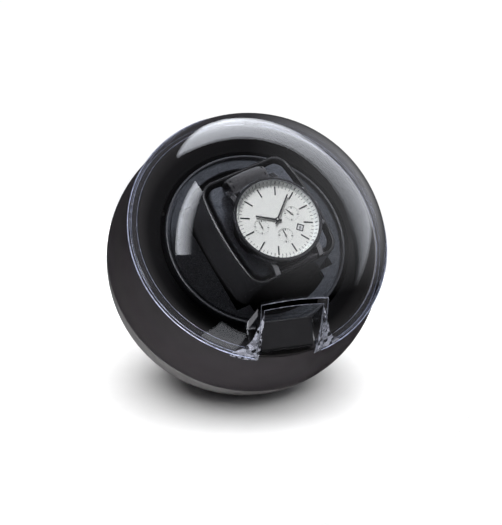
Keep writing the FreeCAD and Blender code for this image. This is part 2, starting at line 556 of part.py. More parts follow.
housing = fuse(box(rx - 6.0, rx + 6.0, ry - 4.0, ry + 4.0, p0 - 8.0, p1 + 0.5), box(rx - 7.0, rx + 7.0, ry - 5.0, ry + 5.0, p1 + 0.02, p1 + 1.0))
node(cut(cut(housing, box(rx - 5.3, rx + 5.3, ry - 3.3, ry + 3.3, p0 - 5.5, BIG)), rod_y(0.86, rx, ry - 3.95, ry + 3.95, p1 - 0.2)),
     "switch_housing", PANEL)
rocker_pts = [(-4.7, -1.6), (4.7, -1.6), (4.7, 1.6), (0.0, 0.9), (-4.7, 1.6)]
rocker = fuse(padded("XZ_Plane", rocker_pts, 6.0), rod_y(0.8, 0, -3.85, 3.85, 0))
tilt = Placement(Vector(rx, ry, p1.v - 0.2), Rotation(Vector(0, 1, 0), -9))
node(rocker, "power_rocker", PANEL.multiply(tilt))
jx, jy = jack_xy
jack = cut(fuse(cyl(4.5, jx, jy, p0 - 8.0, p1 + 0.4), cyl(5.4, jx, jy, p1 + 0.02, p1 + 0.9)), cyl(2.8, jx, jy, p0 - 6.0, BIG))
node(fuse(jack, cyl(1.0, jx, jy, p0 - 7.0, p1 - 1.0)), "dc_jack", PANEL)

# --------------------------------------------------------- cushion and watch
px, py, pz, pt = D.pad_x.v, D.pad_y.v, D.pad_z.v, D.pad_top.v
pad = taper(px - 3, py - 3, 6.0, pz, px, py, 8.0, pz + 3.0)
pad = pad.fuse(taper(px, py, 8.0, pz + 3.0, px, py, 8.0, pt - 4.0)).fuse(taper(px, py, 8.0, pt - 4.0, px - 3.5, py - 3.5, 6.5, pt))
node(feature(pad.removeSplitter()), "cushion_pad", CUSHION)


def band(path, thick, half):
    """A strap: a band of even thickness along a (y, z) path, half wide each way in x."""
    left, right = [], []
    for i, p in enumerate(path):
        a = path[max(i - 1, 0)]
        b = path[min(i + 1, len(path) - 1)]
        d0 = Vector(p[0] - a[0], p[1] - a[1], 0)
        d1 = Vector(b[0] - p[0], b[1] - p[1], 0)
        if d0.Length > 0:
            d0.normalize()
        if d1.Length > 0:
            d1.normalize()
        d = d0 + d1
        d.normalize()
        base = d0 if d0.Length > 0 else d1
        k = thick / 2 / max(0.5, d.dot(base))
        left.append(Vector(-half, p[0] - d.y * k, p[1] + d.x * k))
        right.append(Vector(-half, p[0] + d.y * k, p[1] - d.x * k))
    ring = left + right[::-1]
    return Part.Face(Part.makePolygon(ring + [ring[0]])).extrude(Vector(2 * half, 0, 0))


st, sw, bz = D.strap_t.v, D.strap_w.v / 2, D.bar_z.v
wo = D.watch_off.v
run_y = py + 0.35 + st / 2
up_bar, low_bar = D.bar_y.v - wo, -D.bar_y.v - wo
upper_path = [(up_bar, bz), (21.6, bz + 0.5), (23.4, bz - 0.5), (24.5, bz - 2.6), (run_y, bz - 5.0), (run_y, 17.0),
              (run_y - 1.2, 13.9), (run_y - 4.0, 12.4), (2.0, 12.4)]
lower_path = [(low_bar, bz), (low_bar + 1.1, bz - 2.3), (-run_y, bz - 5.2), (-run_y, 17.0), (-run_y + 1.2, 13.9), (-run_y + 4.0, 12.4),
              (-2.0, 12.4)]
for label, path, by in (("strap_upper", upper_path, up_bar), ("strap_lower", lower_path, low_bar)):
    across = Rotation(Vector(0, 1, 0), 90)
    loop = Part.makeCylinder(1.6, 2 * sw, Vector(-sw, by, bz), Vector(1, 0, 0))
    hole = Part.makeCylinder(0.95, 4 * sw, Vector(-2 * sw, by, bz), Vector(1, 0, 0))
    node(feature(band(path, st, sw).fuse(loop).cut(hole).removeSplitter()), label, CUSHION)
node(group(rod_x(0.85, -12.4, 12.4, up_bar, D.bar_z), rod_x(0.85, -12.4, 12.4, low_bar, D.bar_z)), "spring_bars", CUSHION)
frame = cut(box(-12.6, 12.6, -5.0, 5.0, 9.4, 11.0), box(-10.9, 10.9, -3.4, 3.4, 0, BIG))
node(fuse(frame, box(-0.9, 0.9, -4.6, 4.6, 9.8, 10.9)), "strap_buckle", CUSHION)

cz = D.case_z
case = revolve([(0, cz), (16.5, cz), (20.4, cz + 1.6), (D.case_r, cz + 2.8), (D.case_r, cz + 6.2), (D.case_r - 0.5, cz + 6.7),
                (D.dial_r + 0.2, cz + 6.7), (D.dial_r + 0.2, cz + 1.6), (0, cz + 1.6)])
lugs = []
for sx in (-1, 1):
    for sy in (-1, 1):
        lean = Part.Face(Part.makePolygon([
            Vector(11.3 * sx if sx > 0 else -13.8, sy * y, z) for y, z in
            ((15.8, cz.v + 5.6), (20.5, cz.v + 5.2), (D.lug_y.v - 0.6, cz.v + 3.4), (D.lug_y.v, cz.v + 2.2), (D.lug_y.v - 0.6, cz.v + 0.9),
             (20.0, cz.v + 1.5), (15.8, cz.v + 1.9), (15.8, cz.v + 5.6))])).extrude(Vector(2.5, 0, 0))
        lugs.append(feature(lean))
stem_z = cz + 3.5
case_holes = [rod_x(0.85, 18.0, 30.0, 0, stem_z), rod_x(0.85, 14.0, 30.0, 9.5, stem_z), rod_x(0.85, 14.0, 30.0, -9.5, stem_z),
              rod_x(0.95, -12.6, 12.6, D.bar_y, D.bar_z), rod_x(0.95, -12.6, 12.6, -D.bar_y, D.bar_z),
              rod_x(1.95, -11.1, 11.1, D.bar_y, D.bar_z), rod_x(1.95, -11.1, 11.1, -D.bar_y, D.bar_z)]
lug_ring = cut(fuse(*lugs), cyl(D.case_r - 0.6, 0, 0, 0, BIG))
node(cut(fuse(case, lug_ring), group(*case_holes)), "watch_case", WATCH)
node(revolve([(D.bezel_ri, cz + 6.8), (D.bezel_ro - 0.2, cz + 6.8), (D.bezel_ro, cz + 7.1), (D.bezel_ro, cz + 8.4), (D.bezel_ro - 0.5, cz + 9.1),
              (D.bezel_ri, cz + 9.2)]), "watch_bezel", WATCH)
node(revolve([(0, cz + 8.1), (D.bezel_ri - 0.05, cz + 8.1), (D.bezel_ri - 0.05, cz + 9.2), (D.bezel_ri - 0.5, cz + 9.5), (0, cz + 9.5)]),
     "watch_crystal", WATCH)
sub_at = [(8.6, 0.0), (0.0, -8.6), (-8.6, 0.0)]
dz = D.dial_z
dial = fuse(cyl(D.dial_r, 0, 0, dz, dz + 0.5), cyl(0.35, 0, 0, dz, dz + 2.2), *[cyl(0.25, x, y, dz, dz + 1.0) for x, y in sub_at])
node(cut(dial, group(*[cut(cyl(3.9, x, y, dz + 0.38, BIG), cyl(0.3, x, y, 0, BIG)) for x, y in sub_at])), "watch_dial", WATCH)
node(cut(cyl(D.dial_r - 0.6, 0, 0, cz + 1.65, dz - 0.05), group(rod_x(0.9, 12.0, 30.0, 0, stem_z), rod_x(0.9, 12.0, 30.0, 9.5, stem_z),
                                                                rod_x(0.9, 12.0, 30.0, -9.5, stem_z))), "watch_movement", WATCH)


def hand(length, tail, wide, z0, thick, hub, bore):
    """A slim hand along +y with a round hub."""
    blade = Part.makePolygon([Vector(-wide / 2, -tail, z0), Vector(wide / 2, -tail, z0), Vector(wide / 2 * 0.8, length, z0),
                              Vector(-wide / 2 * 0.8, length, z0), Vector(-wide / 2, -tail, z0)])
    s = Part.Face(blade).extrude(Vector(0, 0, thick)).fuse(Part.makeCylinder(hub, thick, Vector(0, 0, z0)))
    return s.cut(Part.makeCylinder(bore, 10, Vector(0, 0, z0 - 5))).removeSplitter()


def clock(angle, x=0.0, y=0.0):
    return WATCH.multiply(Placement(Vector(x, y, 0), Rotation(Vector(0, 0, 1), -angle)))


node(feature(hand(10.6, 2.2, 1.0, dz.v + 1.25, 0.25, 1.1, 0.4)), "hour_hand", clock(304.0))
node(feature(hand(14.6, 2.6, 0.8, dz.v + 1.75, 0.25, 1.0, 0.4)), "minute_hand", clock(51.0))
node(feature(hand(3.3, 0.9, 0.42, dz.v + 0.65, 0.2, 0.5, 0.3)), "day_hand", clock(-26.0, *sub_at[0]))
node(feature(hand(3.3, 0.9, 0.42, dz.v + 0.65, 0.2, 0.5, 0.3)), "seconds_hand", clock(2.0, *sub_at[1]))
node(feature(hand(3.3, 0.9, 0.42, dz.v + 0.65, 0.2, 0.5, 0.3)), "counter_hand", clock(2.0, *sub_at[2]))

grip = fuse(rod_x(2.1, D.case_r + 0.35, D.case_r + 2.5, 0, stem_z), rod_x(0.8, 20.6, D.case_r + 0.6, 0, stem_z))
ridges = []
for i in range(16):
    a = 2 * math.pi * i / 16
    ridges.append(rod_x(0.22, 20.0, 40.0, 2.18 * math.cos(a), stem_z + 2.18 * math.sin(a)))
node(cut(grip, group(*ridges)), "crown", WATCH)
for label, y in (("pusher_start", 9.5), ("pusher_reset", -9.5)):
    node(fuse(rod_x(1.2, 21.0, 22.7, y, stem_z), rod_x(0.8, 18.2, 21.4, y, stem_z)), label, WATCH)

# -------------------------------------------------------------------- output
doc.recompute()
bad = [o.Name for o in doc.Objects if "Invalid" in o.State or "Error" in o.State]
for o in nodes:
    if o.Shape.isNull() or not o.Shape.isValid() or not o.Shape.Solids:
        bad.append("shape of " + o.Label)
labels = [o.Label for o in nodes]
if len(set(labels)) != len(labels):
    bad.append("two nodes share a name")
if bad:
    raise RuntimeError("failed: " + ", ".join(bad))
os.makedirs("parts", exist_ok=True)
for o in nodes:
    o.Shape.exportStep(os.path.join("parts", o.Label + ".step"))
    b = o.Shape.BoundBox
    print("%-16s solids %2d volume %9.1f  x %7.2f %7.2f  y %7.2f %7.2f  z %7.2f %7.2f" % (
        o.Label, len(o.Shape.Solids), o.Shape.Volume, b.XMin, b.XMax, b.YMin, b.YMax, b.ZMin, b.ZMax))
print(len(nodes), "nodes")
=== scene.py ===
import json
import math
import random

import bmesh
import bpy
from mathutils import Matrix, Vector, noise

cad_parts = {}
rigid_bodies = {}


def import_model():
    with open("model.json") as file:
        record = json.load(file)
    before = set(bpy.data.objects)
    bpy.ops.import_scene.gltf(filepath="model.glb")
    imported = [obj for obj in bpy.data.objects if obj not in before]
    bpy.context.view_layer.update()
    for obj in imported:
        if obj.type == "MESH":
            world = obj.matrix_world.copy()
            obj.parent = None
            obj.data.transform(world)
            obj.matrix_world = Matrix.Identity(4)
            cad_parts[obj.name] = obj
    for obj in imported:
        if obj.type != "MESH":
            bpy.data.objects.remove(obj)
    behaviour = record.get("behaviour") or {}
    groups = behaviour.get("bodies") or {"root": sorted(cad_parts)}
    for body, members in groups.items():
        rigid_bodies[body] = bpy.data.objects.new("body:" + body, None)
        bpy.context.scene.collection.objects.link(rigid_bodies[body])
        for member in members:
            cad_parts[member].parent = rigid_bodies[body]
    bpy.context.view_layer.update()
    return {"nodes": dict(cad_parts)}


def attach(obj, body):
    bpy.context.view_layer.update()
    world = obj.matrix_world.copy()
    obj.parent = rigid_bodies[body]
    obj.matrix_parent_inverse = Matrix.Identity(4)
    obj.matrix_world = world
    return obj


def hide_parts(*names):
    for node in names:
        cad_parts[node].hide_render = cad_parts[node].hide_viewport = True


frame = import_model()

N = frame["nodes"]
MM = 0.001
scene = bpy.context.scene
scene.view_settings.view_transform = "Standard"
scene.view_settings.look = "None"

# ------------------------------------------------------------------ frames
# The ball's centre, the drum axis frame, the drum, cushion and watch frames and
# the control panel frame, all as matrices from millimetres to the row frame.
C = Vector((0, -0.00083, 0.0718))
PITCH = Matrix.Rotation(math.radians(50.0), 3, "X")


def frame_of(rot):
    return Matrix.Translation(C) @ rot.to_4x4() @ Matrix.Scale(MM, 4)


AXIS = frame_of(PITCH)
DRUM = frame_of(PITCH @ Matrix.Rotation(math.radians(18.7), 3, "Z"))
CUSH = DRUM @ Matrix.Translation((0, 0, 5.5))
WATCH = CUSH @ Matrix.Translation((0, -4.3, 0))
PANEL = frame_of(PITCH @ Matrix.Rotation(math.radians(-158.0), 3, "X"))

# ------------------------------------------------------------------ camera
AZ, EL, DIST = math.radians(-18.6), math.radians(18.0), 0.648
back = Vector((math.sin(AZ) * math.cos(EL), -math.cos(AZ) * math.cos(EL), math.sin(EL)))
right = Vector((math.cos(AZ), math.sin(AZ), 0))
up = back.cross(right)
deep = Vector((-math.sin(AZ), math.cos(AZ), 0))
cam_data = bpy.data.cameras.new("camera")
cam_data.sensor_fit = "AUTO"
cam_data.sensor_width = 36.0
cam_data.lens = 1247.7 * 36.0 / 525.0
cam_data.shift_x = 4.7 / 525.0
cam_data.shift_y = -8.5 / 525.0
cam_data.clip_start = 0.01
cam_data.clip_end = 60.0
cam = bpy.data.objects.new("camera", cam_data)
scene.collection.objects.link(cam)
cam.matrix_world = Matrix.Translation(C + back * DIST) @ Matrix((right, up, back)).transposed().to_4x4()
scene.camera = cam


def studio(r, f, z):
    """A point given right of, behind and above the ball's centre as the camera sees it."""
    return C + right * r + deep * f + Vector((0, 0, z))


# --------------------------------------------------------------- materials
def new_mat(name):
    m = bpy.data.materials.new(name)
    m.use_nodes = True
    nt = m.node_tree
    nt.nodes.clear()
    out = nt.nodes.new("ShaderNodeOutputMaterial")
    p = nt.nodes.new("ShaderNodeBsdfPrincipled")
    nt.links.new(p.outputs[0], out.inputs["Surface"])
    return m, nt, p, out


def mapped(nt, scale=(1, 1, 1), rot=(0, 0, 0)):
    tc = nt.nodes.new("ShaderNodeTexCoord")
    mp = nt.nodes.new("ShaderNodeMapping")
    mp.inputs["Scale"].default_value = scale
    mp.inputs["Rotation"].default_value = rot
    nt.links.new(tc.outputs["Object"], mp.inputs["Vector"])
    return mp.outputs["Vector"]


def noise_tex(nt, vec, scale, detail=3.0, rough=0.55):
    n = nt.nodes.new("ShaderNodeTexNoise")
    n.inputs["Scale"].default_value = scale
    n.inputs["Detail"].default_value = detail
    n.inputs["Roughness"].default_value = rough
    nt.links.new(vec, n.inputs["Vector"])
    return n.outputs[0]


def ranged(nt, value, lo, hi, a=0.3, b=0.7):
    r = nt.nodes.new("ShaderNodeMapRange")
    r.inputs["From Min"].default_value = a
    r.inputs["From Max"].default_value = b
    r.inputs["To Min"].default_value = lo
    r.inputs["To Max"].default_value = hi
    nt.links.new(value, r.inputs["Value"])
    return r.outputs["Result"]


def tinted(nt, value, dark, light, a=0.3, b=0.7):
    r = nt.nodes.new("ShaderNodeValToRGB")
    r.color_ramp.elements[0].position = a
    r.color_ramp.elements[0].color = (*dark, 1)
    r.color_ramp.elements[1].position = b
    r.color_ramp.elements[1].color = (*light, 1)
    nt.links.new(value, r.inputs["Fac"])
    return r.outputs["Color"]


def math_node(nt, op, a, b):
    n = nt.nodes.new("ShaderNodeMath")
    n.operation = op
    for i, v in enumerate((a, b)):
        if isinstance(v, (int, float)):
            n.inputs[i].default_value = v
        else:
            nt.links.new(v, n.inputs[i])
    return n.outputs[0]


def bumped(nt, p, height, distance, strength=1.0, socket="Normal", under=None):
    b = nt.nodes.new("ShaderNodeBump")
    b.inputs["Distance"].default_value = distance
    b.inputs["Strength"].default_value = strength
    nt.links.new(height, b.inputs["Height"])
    if under is not None:
        nt.links.new(under, b.inputs["Normal"])
    if p is not None:
        nt.links.new(b.outputs["Normal"], p.inputs[socket])
    return b.outputs["Normal"]


def scaled(c, k):
    return tuple(min(1.0, max(0.0, x * k)) for x in c)


def finish(name, color, rough, metal=0.0, vary=0.15, rvary=0.06, patch=90.0, grain=2600.0, bump=0.00001,
           spec=0.5, coat=0.0, coat_rough=0.05, detail=4.0, stretch=(1, 1, 1), edge=0.0):
    """Moulded plastic or metal: uneven tone, uneven gloss and a fine surface grain."""
    m, nt, p, out = new_mat(name)
    vec = mapped(nt, stretch)
    broad = noise_tex(nt, vec, patch, 5.0, 0.6)
    fine = noise_tex(nt, vec, grain, detail, 0.6)
    nt.links.new(tinted(nt, broad, scaled(color, 1 - vary), scaled(color, 1 + vary)), p.inputs["Base Color"])
    nt.links.new(ranged(nt, fine, max(0.02, rough - rvary), min(1.0, rough + rvary)), p.inputs["Roughness"])
    p.inputs["Metallic"].default_value = metal
    p.inputs["Specular IOR Level"].default_value = spec
    p.inputs["Coat Weight"].default_value = coat
    p.inputs["Coat Roughness"].default_value = coat_rough
    under = None
    if edge:
        # softened moulding edges that catch the light
        bv = nt.nodes.new("ShaderNodeBevel")
        bv.samples = 6
        bv.inputs["Radius"].default_value = edge
        under = bv.outputs["Normal"]
        nt.links.new(under, p.inputs["Normal"])
    if bump:
        bumped(nt, p, fine, bump, under=under)
    return m


def leather(name, dark, light, rough, cell, depth, spec=0.5, crease=0.35):
    """Leather or leatherette: pebbled cells with creases between them over fine noise."""
    m, nt, p, out = new_mat(name)
    vec = mapped(nt)
    warp = noise_tex(nt, vec, cell * 0.6, 2.0, 0.5)
    shift = nt.nodes.new("ShaderNodeVectorMath")
    shift.operation = "MULTIPLY_ADD"
    comb = nt.nodes.new("ShaderNodeCombineXYZ")
    for i in range(3):
        nt.links.new(warp, comb.inputs[i])
    nt.links.new(comb.outputs[0], shift.inputs[0])
    shift.inputs[1].default_value = (0.5 / cell,) * 3
    nt.links.new(vec, shift.inputs[2])
    vor = nt.nodes.new("ShaderNodeTexVoronoi")
    vor.feature = "DISTANCE_TO_EDGE"
    vor.inputs["Scale"].default_value = cell
    nt.links.new(shift.outputs[0], vor.inputs["Vector"])
    cells = ranged(nt, vor.outputs["Distance"], 0.0, 1.0, 0.0, crease)
    fine = noise_tex(nt, vec, cell * 4.0, 4.0, 0.6)
    height = math_node(nt, "ADD", cells, math_node(nt, "MULTIPLY", fine, 0.5))
    # the colour is darker in the creases between the cells and lighter on their tops: painted shade in the creases,
    # over the fine noise's random tone
    nt.links.new(tinted(nt, height, dark, light, 0.2, 1.3), p.inputs["Base Color"])
    nt.links.new(ranged(nt, cells, min(1.0, rough + 0.12), rough, 0.0, 1.0), p.inputs["Roughness"])
    p.inputs["Specular IOR Level"].default_value = spec
    bumped(nt, p, height, depth)
    return m


def clear(name, tint, ior):
    """Clear plastic or glass that lets the lamps reach what is behind it."""
    m, nt, p, out = new_mat(name)
    p.inputs["Base Color"].default_value = (*tint, 1)
    p.inputs["Roughness"].default_value = 0.0
    p.inputs["IOR"].default_value = ior
    p.inputs["Transmission Weight"].default_value = 1.0
    lp = nt.nodes.new("ShaderNodeLightPath")
    seen = math_node(nt, "MAXIMUM", lp.outputs["Is Shadow Ray"], lp.outputs["Is Diffuse Ray"])
    clr = nt.nodes.new("ShaderNodeBsdfTransparent")
    clr.inputs["Color"].default_value = (0.95, 0.955, 0.97, 1)
    mix = nt.nodes.new("ShaderNodeMixShader")
    nt.links.new(seen, mix.inputs[0])
    nt.links.new(p.outputs[0], mix.inputs[1])
    nt.links.new(clr.outputs[0], mix.inputs[2])
    nt.links.new(mix.outputs[0], out.inputs["Surface"])
    return m


def brushed(name, color, rough, along=(1, 1, 40)):
    return finish(name, color, rough, metal=1.0, vary=0.06, rvary=0.08, patch=300.0, grain=1500.0, bump=0.000002, stretch=along)


M = {}
M["shell"] = finish("shell_satin", (0.060, 0.054, 0.059), 0.34, vary=0.10, rvary=0.05, patch=60.0, grain=3200.0, bump=0.000004, spec=0.35)
# the rear shell is the body's satin plastic given a lighter grey: a painted reflection of the white floor along its
# limb
M["rear"] = finish("rear_satin_painted_reflection", (0.24, 0.233, 0.235), 0.38, vary=0.08, rvary=0.05, patch=60.0, grain=3200.0, bump=0.000004, spec=0.4)
M["cover"] = clear("cover_clear", (0.975, 0.978, 0.99), 1.49)
# the dished ring's material also carries a painted reflection, a radial grey band set further down
M["gloss"] = finish("bezel_black_painted_reflection", (0.005, 0.005, 0.0055), 0.55, spec=0.02, vary=0.12, rvary=0.04, grain=1800.0, bump=0.000003, edge=0.0004)
M["tab"] = finish("tab_gloss_black", (0.017, 0.0167, 0.018), 0.14, vary=0.12, rvary=0.04, grain=1500.0, bump=0.000003, edge=0.0007)
M["drum"] = leather("drum_grained", (0.009, 0.011, 0.014), (0.098, 0.105, 0.122), 0.50, 1450.0, 0.00016, crease=0.42)
M["cup"] = finish("cup_matt_black", (0.004, 0.004, 0.0042), 0.6, grain=2400.0, bump=0.00001, spec=0.2)
M["holder"] = finish("holder_gloss_black", (0.007, 0.007, 0.0076), 0.20, rvary=0.05, grain=2000.0, bump=0.000004, edge=0.0006)
M["lip"] = finish("holder_lip_gloss", (0.010, 0.010, 0.011), 0.34, spec=0.6, rvary=0.04, grain=2600.0, bump=0.000002)
M["rim"] = finish("drum_rim_gloss", (0.030, 0.031, 0.035), 0.32, spec=0.7, rvary=0.04, grain=2600.0, bump=0.000002)
M["pad"] = leather("cushion_leatherette", (0.026, 0.029, 0.036), (0.150, 0.162, 0.188), 0.46, 1450.0, 0.00016, crease=0.45)
M["strap"] = leather("strap_leather", (0.010, 0.010, 0.011), (0.060, 0.059, 0.062), 0.32, 1300.0, 0.00005)
M["thread"] = finish("thread_black", (0.012, 0.012, 0.013), 0.6, grain=9000.0, bump=0.00003)
M["steel"] = finish("steel_polished", (0.42, 0.42, 0.43), 0.12, metal=1.0, vary=0.05, rvary=0.05, patch=200.0, grain=3000.0, bump=0.000001, edge=0.0003)
M["chrome"] = finish("bezel_dark_steel", (0.17, 0.17, 0.18), 0.14, metal=1.0, vary=0.06, rvary=0.04, patch=300.0, grain=5000.0, bump=0.000001, edge=0.0003)
M["dark"] = finish("steel_dark", (0.035, 0.035, 0.038), 0.30, metal=0.7, vary=0.1, grain=4000.0, bump=0.000001)
M["ink"] = finish("print_grey", (0.12, 0.125, 0.12), 0.5, vary=0.15, grain=9000.0, bump=0.000002)
M["dial"] = finish("dial_silver", (0.84, 0.84, 0.775), 0.46, vary=0.03, rvary=0.05, patch=500.0, grain=9000.0, bump=0.000003, spec=0.3)
M["rehaut"] = finish("dial_ring_silver", (0.85, 0.87, 0.83), 0.40, metal=0.0, vary=0.05, rvary=0.05, patch=500.0, grain=9000.0, bump=0.000003)
M["crystal"] = clear("crystal_glass", (1.0, 1.0, 1.0), 1.5)
M["rubber"] = finish("rubber_black", (0.014, 0.014, 0.014), 0.75, grain=3000.0, bump=0.00002)
M["abs"] = finish("abs_black", (0.015, 0.015, 0.016), 0.5, grain=2200.0, bump=0.00002, edge=0.0003)
M["print"] = finish("print_white", (0.72, 0.72, 0.70), 0.55, vary=0.05, grain=6000.0, bump=0.000004)
M["zinc"] = finish("zinc_plate", (0.56, 0.56, 0.55), 0.34, metal=1.0, vary=0.06, rvary=0.08, patch=300.0, grain=1500.0, bump=0.000002, edge=0.0002)
M["bronze"] = finish("bronze_sintered", (0.42, 0.26, 0.12), 0.42, metal=1.0, vary=0.2, grain=5000.0, bump=0.00001)
M["nylon"] = finish("nylon_natural", (0.74, 0.72, 0.66), 0.45, vary=0.05, grain=2400.0, bump=0.00001)
M["fr4"] = finish("board_green", (0.012, 0.10, 0.035), 0.35, vary=0.35, patch=900.0, grain=3000.0, bump=0.00002)
M["brass"] = finish("brass_gear", (0.62, 0.47, 0.2), 0.3, metal=1.0, vary=0.1, grain=3000.0, bump=0.000004)

# the dished ring's base colour is painted greyer along its outer land than near the drum: a painted reflection of the
# floor and wall on the dish
nt = M["gloss"].node_tree
at = nt.nodes.new("ShaderNodeNewGeometry").outputs["Position"]
arm = nt.nodes.new("ShaderNodeVectorMath")
arm.operation = "SUBTRACT"
nt.links.new(at, arm.inputs[0])
arm.inputs[1].default_value = tuple(C)
turned = nt.nodes.new("ShaderNodeVectorMath")
turned.operation = "CROSS_PRODUCT"
nt.links.new(arm.outputs[0], turned.inputs[0])
turned.inputs[1].default_value = (0.0, -math.sin(math.radians(50.0)), math.cos(math.radians(50.0)))
away = nt.nodes.new("ShaderNodeVectorMath")
away.operation = "LENGTH"
nt.links.new(turned.outputs[0], away.inputs[0])
dish_painted_reflection = tinted(nt, away.outputs["Value"], (0.005, 0.005, 0.0053), (0.040, 0.038, 0.038), 0.0545, 0.0645)
for n in nt.nodes:
    if n.type == "BSDF_PRINCIPLED":
        nt.links.new(dish_painted_reflection, n.inputs["Base Color"])

finishes = {
    "shell": "main_shell",
    "rear": "rear_shell",
    "cover": "clear_cover",
    "gloss": "front_bezel",
    "tab": "finger_tab",
    "drum": "drum_face",
    "cup": "drum_cup",
    "holder": "holder_frame",
    "pad": "cushion_pad",
    "strap": "strap_upper strap_lower",
    "steel": "watch_case crown pusher_start pusher_reset strap_buckle spring_bars",
    "chrome": "watch_bezel",
    "dark": "minute_hand hour_hand day_hand seconds_hand counter_hand",
    "dial": "watch_dial",
    "crystal": "watch_crystal",
    "rubber": "foot_ring",
    "abs": "chassis_plate rear_panel mode_switch switch_housing dc_jack power_rocker mode_knob motor_gearbox",
    "zinc": "chassis_screws housing_screws motor_screws pcb_screws panel_screws holder_screws motor_can hinge_pin drum_shaft motor_shaft retaining_clip",
    "bronze": "shaft_bush",
    "nylon": "drum_gear",
    "brass": "motor_pinion watch_movement",
    "fr4": "pcb",
}
for key, names in finishes.items():
    for n in names.split():
        o = N[n]
        if not o.material_slots:
            o.data.materials.append(M[key])
        for s in o.material_slots:
            s.material = M[key]


# ------------------------------------------------------------- mesh helpers
class Soup:
    """Collects closed little solids in millimetres of one frame."""

    def __init__(self):
        self.v, self.f = [], []

    def add(self, verts, faces):
        n = len(self.v)
        self.v += [tuple(p) for p in verts]
        self.f += [tuple(i + n for i in f) for f in faces]

    def loft(self, rings, caps=True, loop=False):
        n, k = len(rings[0]), len(rings)
        faces = []
        for i in range(k if loop else k - 1):
            j = (i + 1) % k
            for q in range(n):
                r = (q + 1) % n
                faces.append((i * n + q, i * n + r, j * n + r, j * n + q))
        if caps and not loop:
            faces.append(tuple(range(n))[::-1])
            faces.append(tuple((k - 1) * n + q for q in range(n)))
        self.add([p for ring in rings for p in ring], faces)

    def lathe(self, profile, seg=96, x=0.0, y=0.0):
        """Turns a closed (radius, height) outline about an upright line."""
        rings = []
        for i in range(seg):
            a = 2 * math.pi * i / seg
            rings.append([(x + r * math.sin(a), y + r * math.cos(a), z) for r, z in profile])
        self.loft(rings, loop=True)

    def bar(self, angle, r0, r1, wide0, wide1, z0, z1, x=0.0, y=0.0, bevel=0.0, rise=0.0):
        """A bar pointing out from (x, y) at a clockwise angle; rise lifts its outer end."""
        a = math.radians(angle)
        ux, uy = math.sin(a), math.cos(a)
        sx, sy = uy, -ux
        low, high = [], []
        for r, s, w, lift in ((r0, -1, wide0, 0.0), (r0, 1, wide0, 0.0), (r1, 1, wide1, rise), (r1, -1, wide1, rise)):
            h = w / 2
            low.append((x + ux * r + sx * s * h, y + uy * r + sy * s * h, z0 + lift))
            e = bevel if r == r0 else -bevel
            h2 = h - bevel
            high.append((x + ux * (r + e) + sx * s * h2, y + uy * (r + e) + sy * s * h2, z1 + lift))
        mid = [(p[0], p[1], z1 + (0.0 if i < 2 else rise) - bevel) for i, p in enumerate(low)]
        self.loft([low, mid, high] if bevel else [low, high])


def piece(name, place, soup, mat, body, smooth=None, level=0):
    """Makes a piece from a soup; smooth is the angle under which edges are shaded round."""
    me = bpy.data.meshes.new(name)
    me.from_pydata([tuple(place @ Vector(p)) for p in soup.v], [], soup.f)
    bm = bmesh.new()
    bm.from_mesh(me)
    bmesh.ops.recalc_face_normals(bm, faces=bm.faces)
    for e in bm.edges:
        e.smooth = smooth is not None and len(e.link_faces) == 2 and e.calc_face_angle(0.0) < math.radians(smooth)
    for f in bm.faces:
        f.smooth = smooth is not None
    bm.to_mesh(me)
    bm.free()
    me.materials.append(mat)
    o = bpy.data.objects.new(name, me)
    scene.collection.objects.link(o)
    if level:
        sub = o.modifiers.new("round", "SUBSURF")
        sub.levels = sub.render_levels = level
    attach(o, body)
    return o


# ------------------------------------------------------------------ cushion
def outline(inset):
    """The pad's rounded outline: full beside the strap, drawn in under it."""
    a, b, c = 22.6 - inset, 25.9 - inset, max(2.0, 6.0 - inset)
    pts = []
    for sx, sy, t0 in ((1, 1, 0), (-1, 1, 90), (-1, -1, 180), (1, -1, 270)):
        for i in range(9):
            t = math.radians(t0 + 90 * i / 8)
            pts.append((sx * (a - c) + c * math.cos(t), sy * (b - c) + c * math.sin(t)))
    ring = []
    for i, p in enumerate(pts):
        q = pts[(i + 1) % len(pts)]
        n = max(1, int(math.hypot(q[0] - p[0], q[1] - p[1]) / 1.2))
        ring += [(p[0] + (q[0] - p[0]) * k / n, p[1] + (q[1] - p[1]) * k / n) for k in range(n)]
    out = []
    for x, y in ring:
        t = max(0.0, min(1.0, (abs(x) - 10.9) / 2.6))
        cap = 22.7 - inset + 3.2 * t * t * (3 - 2 * t)
        x += math.copysign(bulge(y), x) * min(1.0, abs(x) / 16.0)
        out.append((x, max(-cap, min(cap, y))))
    return out


def bulge(y):
    """How far the pad's long sides swell out to fill the bowed holder."""
    return 1.45 * max(0.0, 1 - (y / 21.0) ** 2)


